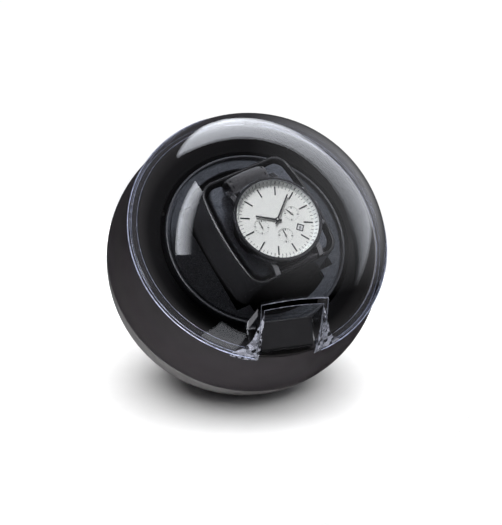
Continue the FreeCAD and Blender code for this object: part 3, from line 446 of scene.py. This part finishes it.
def make_cushion():
    """A sewn pad, blown up as cloth from a slightly smaller block at ten times size."""
    big = 0.01
    soup = Soup()
    steps = ((14.4, 3.4), (15.0, 1.9), (16.2, 0.9), (18.5, 0.3), (24.0, 0.0), (32.0, 0.0), (37.4, 0.0), (38.0, 0.25), (38.4, 0.8), (38.55, 2.0), (38.6, 4.0))
    soup.loft([[(x * big, y * big, z * big) for x, y in outline(e)] for z, e in steps])
    me = bpy.data.meshes.new("cushion_start")
    me.from_pydata(soup.v, [], soup.f)
    start = bpy.data.objects.new("cushion_start", me)
    scene.collection.objects.link(start)
    rm = start.modifiers.new("remesh", "REMESH")
    rm.mode = "VOXEL"
    rm.voxel_size = 0.010
    dg = bpy.context.evaluated_depsgraph_get()
    base = bpy.data.meshes.new_from_object(start.evaluated_get(dg))
    bpy.data.objects.remove(start)
    work = bpy.data.objects.new("cushion_cloth", base)
    scene.collection.objects.link(work)
    first = [v.co.copy() for v in base.vertices]
    now = [v.co.copy() for v in base.vertices]
    cl = work.modifiers.new("cloth", "CLOTH")
    cl.settings.use_pressure = True
    cl.settings.uniform_pressure_force = 4.0
    cl.settings.effector_weights.gravity = 0.0
    cl.settings.quality = 5
    cl.settings.mass = 0.3
    cl.point_cache.frame_start = 1
    cl.point_cache.frame_end = 20
    for f in range(1, 21):
        scene.frame_set(f)
    dg = bpy.context.evaluated_depsgraph_get()
    blown = work.evaluated_get(dg).to_mesh()
    now = [v.co.copy() for v in blown.vertices]
    work.evaluated_get(dg).to_mesh_clear()
    work.modifiers.remove(cl)
    scene.frame_set(1)
    pts = []
    for p, q in zip(first, now):
        d = q - p
        if d.length > 0.008:
            d *= 0.008 / d.length
        x, y, z = (p + d) / big
        # a seam runs round the sides at half height
        pull = 0.45 * math.exp(-((z - 26.0) / 0.8) ** 2)
        if abs(x) > 20.0:
            x -= math.copysign(pull, x)
        if abs(y) > 20.5:
            y -= math.copysign(pull, y)
        side = 23.1 + bulge(y)
        x = max(-side, min(side, x))
        t = max(0.0, min(1.0, (abs(x) - 10.9) / 2.6))
        far = 23.3 + 3.2 * t * t * (3 - 2 * t)
        y = max(-far, min(far, y))
        # the corners outside the watch stand up to just under the holder's rim
        out = max(0.0, min(1.0, (math.hypot(x, y + 4.3) - 22.5) / 3.0))
        if z > 36.0:
            z += 0.55 * out * min(1.0, (z - 36.0) / 2.0)
        z = max(14.0, min(38.6 + 0.33 * out, z))
        pts.append((x, y, z))
    soup = Soup()
    soup.add(pts, [tuple(f.vertices) for f in base.polygons])
    bpy.data.objects.remove(work)
    o = piece("cushion", CUSH, soup, M["pad"], "cushion", smooth=180, level=1)
    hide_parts("cushion_pad")
    return o


make_cushion()


# ------------------------------------------------------------------- straps
def smooth_path(pts, each=7):
    """A round line through the points of a (y, z) path."""
    out = []
    for i in range(len(pts) - 1):
        p0 = Vector(pts[max(i - 1, 0)])
        p1, p2 = Vector(pts[i]), Vector(pts[i + 1])
        p3 = Vector(pts[min(i + 2, len(pts) - 1)])
        k = min(1.0, (p2 - p1).length)
        for j in range(each):
            t = j / each
            out.append(0.5 * ((2 * p1) + (p2 - p0) * t + (2 * p0 - 5 * p1 + 4 * p2 - p3) * t * t + (3 * p1 - p0 - 3 * p2 + p3) * t ** 3))
    out.append(Vector(pts[-1]))
    return out


def make_strap(name, pts, side, stitches):
    """A padded leather strap: crowned section, rounded nose round its bar, thin rolled edges."""
    pts = [Vector(p) for p in pts]
    d0 = (pts[1] - pts[0]).normalized()
    line = [pts[0] - d0 * k for k in (1.55, 1.45, 1.2, 0.8, 0.4)] + smooth_path(pts)
    half, cols = 10.7, 18
    rings, run = [], 0.0
    spots = []
    for i, p in enumerate(line):
        a, b = line[max(i - 1, 0)], line[min(i + 1, len(line) - 1)]
        d = (b - a).normalized()
        nrm = Vector((-d.y, d.x)) * side
        if i:
            run += (p - line[i - 1]).length
        nose = math.sqrt(max(0.02, 1 - ((1.6 - run) / 1.6) ** 2)) if run < 1.6 else 1.0
        tail = min(1.0, 0.35 + (len(line) - 1 - i) * 0.25)
        swell = 1.15 * math.exp(-((run - 6.5) / 4.2) ** 2)
        wide = half * (1.0 if run > 1.2 else 0.965 + 0.035 * run / 1.2)
        top, low = [], []
        for c in range(cols + 1):
            u = -1 + 2 * c / cols
            x = wide * math.sin(u * math.pi / 2) if abs(u) < 1 else wide * u
            edge = max(0.0, 1 - abs(x / wide) ** 10) ** 0.5
            crown = max(0.0, 1 - (x / (wide * 0.86)) ** 2) ** 0.6
            h = (0.30 + 0.75 * edge + swell * crown) * (1.45 if run < 1.6 else 1.0) ** 0.5 * nose * tail
            g = (0.30 + 0.75 * edge) * nose * tail
            q = p + nrm * h
            top.append((x, q.x, q.y))
            q = p - nrm * g
            low.append((x, q.x, q.y))
        rings.append(top + low[::-1])
        spots.append((run, p, d, nrm, swell))
    soup = Soup()
    soup.loft(rings)
    o = piece(name, CUSH, soup, M["strap"], "cushion", smooth=50)
    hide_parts(name.replace("band", "strap"))
    at = 4.0
    for run, p, d, nrm, swell in spots:
        if run < at or run > 26.0:
            continue
        at = run + 2.6
        for x in (-9.1, 9.1):
            ring = []
            for k, w, lift in ((-0.95, 0.10, -0.16), (-0.6, 0.24, 0.10), (0.0, 0.28, 0.18), (0.6, 0.24, 0.10), (0.95, 0.10, -0.16)):
                base = p + d * k + nrm * (1.02 + swell * 0.12)
                row = []
                for j in range(8):
                    t = 2 * math.pi * j / 8
                    q = base + nrm * (lift + w * math.sin(t))
                    row.append((x + w * math.cos(t), q.x, q.y))
                ring.append(row)
            stitches.loft(ring)
    return o


stitches = Soup()
make_strap("band_upper", [(18.0, 41.2), (21.8, 42.1), (23.9, 41.4), (25.1, 39.2), (25.3, 36.6), (24.85, 17.0), (23.55, 13.9), (20.75, 12.4), (2.0, 12.4)], 1, stitches)
make_strap("band_lower", [(-26.6, 41.2), (-25.5, 38.9), (-24.75, 36.0), (-24.75, 17.0), (-23.55, 13.9), (-20.75, 12.4), (-2.0, 12.4)], -1, stitches)
piece("strap_stitches", CUSH, stitches, M["thread"], "cushion", smooth=60)

# --------------------------------------------------------------------- dial
DZ, TURN = 44.8, 28.0
marks = Soup()
for k in range(12):
    marks.bar(TURN + 30 * k, 13.4, 18.0, 0.62, 0.62, DZ - 0.02, DZ + 0.34, bevel=0.12)
piece("dial_batons", WATCH, marks, M["dark"], "cushion")
ring = Soup()
ring.lathe([(18.75, DZ + 0.01), (18.95, DZ + 0.22), (20.02, DZ + 1.95), (20.15, DZ + 1.95), (20.15, DZ + 0.01)], 120)
piece("dial_edge_ring", WATCH, ring, M["rehaut"], "cushion", smooth=25)
track = Soup()
for k in range(60):
    five = k % 5 == 0
    if not five:
        track.bar(TURN + 6 * k, 17.3, 18.6, 0.30, 0.30, DZ - 0.01, DZ + 0.05)
    track.bar(TURN + 6 * k, 19.05 if five else 19.2, 19.85, 0.55 if five else 0.32, 0.55 if five else 0.32,
              DZ + (0.36 if five else 0.61), DZ + (0.50 if five else 0.75), rise=(1.29 if five else 1.05))
for x, y in ((8.6, 0.0), (0.0, -8.6), (-8.6, 0.0)):
    for k in range(20):
        long = k % 5 == 0
        track.bar(TURN + 18 * k, 2.72 if long else 3.2, 3.65, 0.50 if long else 0.15, 0.50 if long else 0.15, DZ - 0.13, DZ - 0.06, x, y)
piece("dial_minute_track", WATCH, track, M["ink"], "cushion")
rims = Soup()
for x, y in ((8.6, 0.0), (0.0, -8.6), (-8.6, 0.0)):
    rims.lathe([(3.78, DZ - 0.11), (3.84, DZ + 0.04), (3.95, DZ + 0.06), (4.02, DZ - 0.01)], 64, x, y)
    for r in (1.15, 1.75, 2.35):
        rims.lathe([(r, DZ - 0.13), (r + 0.05, DZ - 0.075), (r + 0.22, DZ - 0.075), (r + 0.27, DZ - 0.13)], 48, x, y)
piece("sub_dial_rings", WATCH, rims, M["dial"], "cushion", smooth=35)
# date window: a dark bevelled frame on a pale disc with a generic figure eight
wa, wr = 132.6, 11.8
wx, wy = wr * math.sin(math.radians(wa)), wr * math.cos(math.radians(wa))
win = Soup()
for t in (0, 90, 180, 270):
    win.bar(wa + t, 1.25, 1.70, 2.5, 3.4, DZ - 0.02, DZ + 0.22, wx, wy, bevel=0.06)
piece("date_frame", WATCH, win, M["dark"], "cushion")
sheet = Soup()
sheet.bar(wa, -1.3, 1.3, 2.6, 2.6, DZ - 0.02, DZ + 0.03, wx, wy)
piece("date_disc", WATCH, sheet, M["print"], "cushion")
eight = Soup()
ux, uy = math.sin(math.radians(TURN)), math.cos(math.radians(TURN))
for s, r in ((0.42, 0.36), (-0.40, 0.44)):
    eight.lathe([(r - 0.12, DZ + 0.02), (r - 0.10, DZ + 0.06), (r + 0.10, DZ + 0.06), (r + 0.12, DZ + 0.02)], 28, wx + ux * s, wy + uy * s)
piece("date_figure", WATCH, eight, M["dark"], "cushion", smooth=30)

# ------------------------------------------------------------- holder lip
# rounded bead that finishes the holder's wall along its top edge
lip = Soup()
rings = []
mid_x, half_y, corner, turn = 25.8, 27.7, 7.2, math.radians(9.0)
flat_y = half_y - corner
arc = (flat_y + corner * math.sin(turn)) / math.sin(turn)
mid_c = mid_x - arc * (1 - math.cos(turn)) - corner * math.cos(turn)
path = []
for cx, cy, t0 in ((1, 1, 0), (-1, 1, 90), (-1, -1, 180), (1, -1, 270)):
    flip = cx * cy < 0
    span = [turn + (math.pi / 2 - turn) * i / 12 for i in range(13)]
    for t in (span[::-1] if flip else span):
        path.append((cx * (mid_c + corner * math.cos(t)), cy * (flat_y + corner * math.sin(t)), cx * math.cos(t), cy * math.sin(t)))
    if flip:
        for i in range(1, 20):
            t = turn - 2 * turn * i / 20
            path.append((cx * (mid_x - arc + arc * math.cos(t)), cy * arc * math.sin(t), cx * math.cos(t), cy * math.sin(t)))
for px, py, ux, uy in path:
    ring = []
    for j in range(13):
        e = math.pi * j / 12
        ring.append((px + ux * 0.45 * math.cos(e), py + uy * 0.45 * math.cos(e), 44.40 + 0.46 * math.sin(e)))
    ring += [(px - ux * 0.45, py - uy * 0.45, 43.9), (px + ux * 0.45, py + uy * 0.45, 43.9)]
    rings.append(ring)
lip.loft(rings, loop=True)
piece("holder_lip", DRUM, lip, M["lip"], "drum", smooth=40)

# rounded bead that finishes the drum's raised rim
rim = Soup()
rim.lathe([(45.75 + 0.42 * math.cos(math.pi * j / 8), 21.76 + 0.34 * math.sin(math.pi * j / 8)) for j in range(9)] + [(45.33, 21.5), (46.17, 21.5)], 160)
piece("drum_rim", DRUM, rim, M["rim"], "drum", smooth=40)

# -------------------------------------------------------------- cover edges
def acrylic_painted_highlight(name, tint, rough, through, cell, depth, dull):
    """Cut and moulded acrylic edges, given a pale base colour with bright and dull cells: a painted highlight for the
    light such edges gather and refract, on top of what the lamps give.
    """
    m, nt, p, out = new_mat(name)
    vec = mapped(nt)
    vor = nt.nodes.new("ShaderNodeTexVoronoi")
    vor.inputs["Scale"].default_value = cell
    nt.links.new(vec, vor.inputs["Vector"])
    cells = vor.outputs["Color"]
    nt.links.new(tinted(nt, cells, scaled(tint, dull), scaled(tint, 1.0), 0.25, 0.7), p.inputs["Base Color"])
    nt.links.new(ranged(nt, noise_tex(nt, vec, cell * 2), max(0.03, rough - 0.1), rough + 0.1), p.inputs["Roughness"])
    p.inputs["IOR"].default_value = 1.49
    p.inputs["Transmission Weight"].default_value = through
    bumped(nt, p, cells, depth)
    return m


# pale tints with bright and dull cells: painted highlights for the cover's rolled edges, the recess edges and the thick
# corner webs
M["edge"] = acrylic_painted_highlight("acrylic_edge_painted_highlight", (0.33, 0.36, 0.49), 0.24, 0.2, 260.0, 0.00002, 0.7)
M["cut"] = acrylic_painted_highlight("acrylic_cut_painted_highlight", (0.42, 0.44, 0.54), 0.24, 0.3, 260.0, 0.00002, 0.45)
M["web"] = acrylic_painted_highlight("acrylic_web_painted_highlight", (0.36, 0.37, 0.43), 0.20, 0.45, 520.0, 0.0003, 0.04)


def tube(soup, pts, radius, closed=False):
    """A round bead along points in space."""
    pts = [Vector(p) for p in pts]
    rings, k = [], len(pts)
    for i, p in enumerate(pts):
        a = pts[(i - 1) % k] if closed else pts[max(i - 1, 0)]
        b = pts[(i + 1) % k] if closed else pts[min(i + 1, k - 1)]
        d = (b - a).normalized()
        s = d.cross(Vector((0, 0, 1)) if abs(d.z) < 0.9 else Vector((1, 0, 0))).normalized()
        t = s.cross(d)
        w = radius if closed or 0 < i < k - 1 else radius * 0.6
        rings.append([tuple(p + s * w * math.cos(2 * math.pi * j / 8) + t * w * math.sin(2 * math.pi * j / 8)) for j in range(8)])
    soup.loft(rings, loop=closed)


def on_dome(x, y, r=71.2):
    return (x, y, 3.5 + math.sqrt(max(0.0, r * r - x * x - y * y)))


beads = Soup()
for r, z, w in ((66.72, 28.3, 0.32), (65.6, 27.05, 0.22), (63.6, 27.0, 0.14), (61.3, 28.85, 0.08)):
    gap = math.asin(17.2 / r)
    hinge = math.asin(14.0 / r)
    for s in (1, -1):
        run = [gap + (math.pi - gap - hinge) * i / 72 for i in range(73)]
        tube(beads, [(s * r * math.sin(t), -r * math.cos(t), z) for t in run], w)
notch = Soup()
for hx, hy, r, w in ((16.7, 47.1, 71.1, 0.24), (14.9, 48.9, 70.0, 0.17)):
    low = math.sqrt(66.6 ** 2 - hx * hx) - 0.2
    path = [on_dome(-hx, -low + (low - hy) * i / 12, r) for i in range(12)]
    path += [on_dome(-hx + 2 * hx * i / 24, -hy, r) for i in range(25)]
    path += [on_dome(hx, -hy - (low - hy) * i / 12, r) for i in range(1, 13)]
    tube(notch, path, w)
piece("cover_edges", AXIS, beads, M["edge"], "cover", smooth=60)
piece("recess_edges", AXIS, notch, M["cut"], "cover", smooth=60)
webs = Soup()
for s in (-1, 1):
    grid = []
    flat = ((15.0, 50.5), (15.0, 56.0), (15.0, 61.0), (15.0, 64.4), (18.0, 63.6), (22.5, 62.2), (27.5, 60.1), (22.6, 60.0), (19.6, 58.4), (17.4, 54.6))
    outer = [on_dome(s * x, -y, 70.75) for x, y in flat]
    inner = [on_dome(s * x, -y, 69.0) for x, y in flat]
    webs.loft([outer, inner])
piece("cover_webs", AXIS, webs, M["web"], "cover")
brow = Soup()
tube(brow, [(-13.15 + 26.3 * i / 16, -49.75, 36.32) for i in range(17)], 0.34)
piece("tab_lip", AXIS, brow, M["lip"], "housing", smooth=60)

# ------------------------------------------------------------ control panel
scale = Soup()
for a in (-90.0, -22.5, 45.0, 112.5, 180.0):
    scale.bar(a, 6.9, 8.1, 0.45, 0.45, 64.38, 64.46, -7.6, -2.0, bevel=0.03)
scale.lathe([(6.55, 64.38), (6.58, 64.44), (6.72, 64.44), (6.75, 64.38)], 72, -7.6, -2.0)
piece("speed_scale", PANEL, scale, M["print"], "housing", smooth=30)

# ------------------------------------------------------------------ studio
def emitter(name, corners, strength, fade=None):
    """A glowing panel: fade gives the points between which it dims to nothing."""
    me = bpy.data.meshes.new(name)
    me.from_pydata([tuple(c) for c in corners], [], [tuple(range(len(corners)))])
    o = bpy.data.objects.new(name, me)
    scene.collection.objects.link(o)
    m = bpy.data.materials.new(name)
    m.use_nodes = True
    nt = m.node_tree
    nt.nodes.clear()
    out = nt.nodes.new("ShaderNodeOutputMaterial")
    e = nt.nodes.new("ShaderNodeEmission")
    e.inputs["Color"].default_value = (0.90, 0.93, 1.0, 1)
    e.inputs["Strength"].default_value = strength
    nt.links.new(e.outputs[0], out.inputs["Surface"])
    if fade:
        a, b = fade
        tc = nt.nodes.new("ShaderNodeTexCoord")
        sub = nt.nodes.new("ShaderNodeVectorMath")
        sub.operation = "SUBTRACT"
        sub.inputs[1].default_value = tuple(a)
        dot = nt.nodes.new("ShaderNodeVectorMath")
        dot.operation = "DOT_PRODUCT"
        dot.inputs[1].default_value = tuple((b - a) / (b - a).length_squared)
        nt.links.new(tc.outputs["Object"], sub.inputs[0])
        nt.links.new(sub.outputs[0], dot.inputs[0])
        nt.links.new(ranged(nt, dot.outputs["Value"], strength, 0.0, 0.0, 1.0), e.inputs["Strength"])
    o.data.materials.append(m)
    o.visible_camera = False
    o.visible_shadow = False
    return o


def area(name, place, aim, sx, sy, watts, glossy=True, color=(1, 1, 1)):
    d = bpy.data.lights.new(name, "AREA")
    d.shape = "RECTANGLE"
    d.size, d.size_y = sx, sy
    d.energy = watts
    d.color = color
    o = bpy.data.objects.new(name, d)
    scene.collection.objects.link(o)
    o.location = place
    o.rotation_euler = (aim - place).to_track_quat("-Z", "Y").to_euler()
    o.visible_camera = False
    o.visible_glossy = glossy
    o.visible_transmission = glossy
    return o


# back wall that the dome mirrors along its top and right edge, dimmer to the right
edge = [(-0.989, 1.046), (-0.727, 1.331), (-0.372, 1.463), (-0.01, 1.562), (0.333, 1.63), (0.738, 1.676), (1.211, 1.756), (1.937, 1.821),
        (2.784, 1.714), (3.82, 1.414), (6.2, 1.06), (7.4, -0.6), (8.0, -2.9), (5.6, -2.2), (3.4, -0.9), (2.2, -0.3), (1.6, -0.07), (1.347, 0.012), (1.202, 0.218), (1.066, 0.465), (0.814, 0.663),
        (0.482, 0.669), (0.2, 0.552), (0.017, 0.438), (-0.104, 0.37), (-0.242, 0.414), (-0.507, 0.659)]
wall = emitter("wall", [studio(r, 1.0, z) for r, z in edge], 2.2, (studio(0.3, 1.0, 0.5), studio(6.5, 1.0, 0.5)))
wall.visible_diffuse = False
# leaning softbox on the left, brightest along its far edge
a, b = studio(-1.0, -0.616, 0.147), studio(-1.0, -0.056, 1.416)
side = studio(-1.0, -0.98, 0.26) - a
box_light = emitter("softbox", [a, b, b + side, a + side], 6.0, (a, a + side))
box_light.visible_diffuse = False
# small low panel in front on the left, which the dome mirrors beside the tongue
low_panel = emitter("low_panel", [Vector((-0.388, -0.177, -0.422)), Vector((-0.341, -0.389, -0.340)), Vector((-0.142, -0.399, -0.432)),
                                  Vector((-0.165, -0.175, -0.530)), Vector((-0.328, -0.146, -0.470))], 0.95)
low_panel.visible_diffuse = False
# key from the upper right and a weak fill from the left, kept out of the mirror reflections
key = area("key", studio(0.8, -0.05, 1.25), C, 0.4, 0.4, 34.0, glossy=False)
top = area("top", studio(-0.22, -0.39, 1.43), C, 0.7, 0.7, 31.0, glossy=False)
fill = area("fill", studio(-1.0, -0.7, 0.35), C, 0.7, 0.7, 2.0, glossy=False)
strip = area("strip", studio(-1.0, -0.62, 0.16), C, 0.22, 0.22, 26.0)
glint = area("glint", studio(-0.4, -0.7, 0.78), C, 0.3, 0.3, 22.0)
spark = area("spark", studio(0.30, -0.27, 0.55), C, 0.08, 0.08, 2.0)
low = area("low", studio(-0.2, -0.95, 0.13), C, 0.25, 0.25, 18.0)
wash = area("wash", studio(0.1, -0.1, 1.3), C, 2.6, 2.6, 76.0, glossy=False)

white = finish("floor_white", (0.9, 0.9, 0.9), 0.9, vary=0.01, spec=0.2, grain=400.0, bump=0.0)
bm = bmesh.new()
bmesh.ops.create_circle(bm, cap_ends=True, segments=96, radius=0.25)
me = bpy.data.meshes.new("floor_near")
bm.to_mesh(me)
near = bpy.data.objects.new("floor_near", me)
spot = studio(-0.12, 0.05, 0.0)
near.location = (spot.x, spot.y, 0.0)
far_me = bpy.data.meshes.new("floor_far")
far_me.from_pydata([(-12, -12, -0.0006), (12, -12, -0.0006), (12, 12, -0.0006), (-12, 12, -0.0006)], [], [(0, 1, 2, 3)])
far = bpy.data.objects.new("floor_far", far_me)
bright = bpy.data.materials.new("floor_bright")
bright.use_nodes = True
bright.node_tree.nodes.clear()
glow = bright.node_tree.nodes.new("ShaderNodeEmission")
glow.inputs["Strength"].default_value = 1.02
bright.node_tree.links.new(glow.outputs[0], bright.node_tree.nodes.new("ShaderNodeOutputMaterial").inputs["Surface"])
for o, m in ((near, white), (far, bright)):
    scene.collection.objects.link(o)
    o.data.materials.append(m)
far.visible_glossy = False
far.visible_diffuse = False
far.visible_transmission = False
near.visible_glossy = False
near.visible_transmission = False


def lit(lamp, objs, leave_out):
    """Gives a lamp a list of what it lights, or of what it leaves out."""
    coll = bpy.data.collections.new(lamp.name + "_list")
    lamp.light_linking.receiver_collection = coll
    for o in objs:
        coll.objects.link(o)
    for c in coll.collection_objects:
        c.light_linking.link_state = "EXCLUDE" if leave_out else "INCLUDE"


# the floor has an even wash of its own, so that the key's shadow stays soft
lit(wash, [near], False)
face_up = [o for o in bpy.data.objects if o.name in ("watch_dial", "dial_edge_ring", "dial_batons", "dial_minute_track", "sub_dial_rings",
                                                     "date_frame", "date_disc", "date_figure", "minute_hand", "hour_hand")]
strapped = [o for o in bpy.data.objects if o.name in ("band_upper", "band_lower", "strap_stitches", "watch_case", "watch_bezel")]
lit(key, [near, bpy.data.objects["cover_edges"]] + face_up, True)
lit(top, face_up + strapped, False)
lit(fill, [near, N["drum_face"], N["front_bezel"]], True)
lit(strip, [o for o in bpy.data.objects if o.name in ("holder_lip", "tab_lip", "holder_frame")], False)
lit(glint, [o for o in bpy.data.objects if o.name in ("holder_lip", "drum_rim", "watch_case", "crown", "pusher_start", "pusher_reset")], False)
lit(spark, [bpy.data.objects["tab_lip"]], False)
lit(low_panel, [N["clear_cover"]], False)
lit(low, [o for o in bpy.data.objects if o.name in ("cover_edges", "cover_webs")], False)

world = bpy.data.worlds.new("studio")
scene.world = world
world.use_nodes = True
wt = world.node_tree
wt.nodes.clear()
wout = wt.nodes.new("ShaderNodeOutputWorld")
bg = wt.nodes.new("ShaderNodeBackground")
bg2 = wt.nodes.new("ShaderNodeBackground")
bg2.inputs["Color"].default_value = (1, 1, 1, 1)
bg2.inputs["Strength"].default_value = 1.0
tc = wt.nodes.new("ShaderNodeTexCoord")
dot = wt.nodes.new("ShaderNodeVectorMath")
dot.operation = "DOT_PRODUCT"
dot.inputs[1].default_value = tuple(right)
wt.links.new(tc.outputs["Generated"], dot.inputs[0])
wt.links.new(tinted(wt, dot.outputs["Value"], (0.04, 0.039, 0.043), (0.34, 0.34, 0.355), -0.3, 0.7), bg.inputs["Color"])
sep = wt.nodes.new("ShaderNodeSeparateXYZ")
wt.links.new(tc.outputs["Generated"], sep.inputs[0])
lp = wt.nodes.new("ShaderNodeLightPath")
soft = ranged(wt, lp.outputs["Is Diffuse Ray"], 1.0, 0.4, 0.0, 1.0)
wt.links.new(math_node(wt, "MULTIPLY", ranged(wt, sep.outputs["Z"], 0.0, 1.0, -0.40, 0.0), soft), bg.inputs["Strength"])
mix = wt.nodes.new("ShaderNodeMixShader")
wt.links.new(lp.outputs["Is Camera Ray"], mix.inputs[0])
wt.links.new(bg.outputs[0], mix.inputs[1])
wt.links.new(bg2.outputs[0], mix.inputs[2])
wt.links.new(mix.outputs[0], wout.inputs["Surface"])

# ------------------------------------------------------------------ finish
bpy.context.view_layer.update()
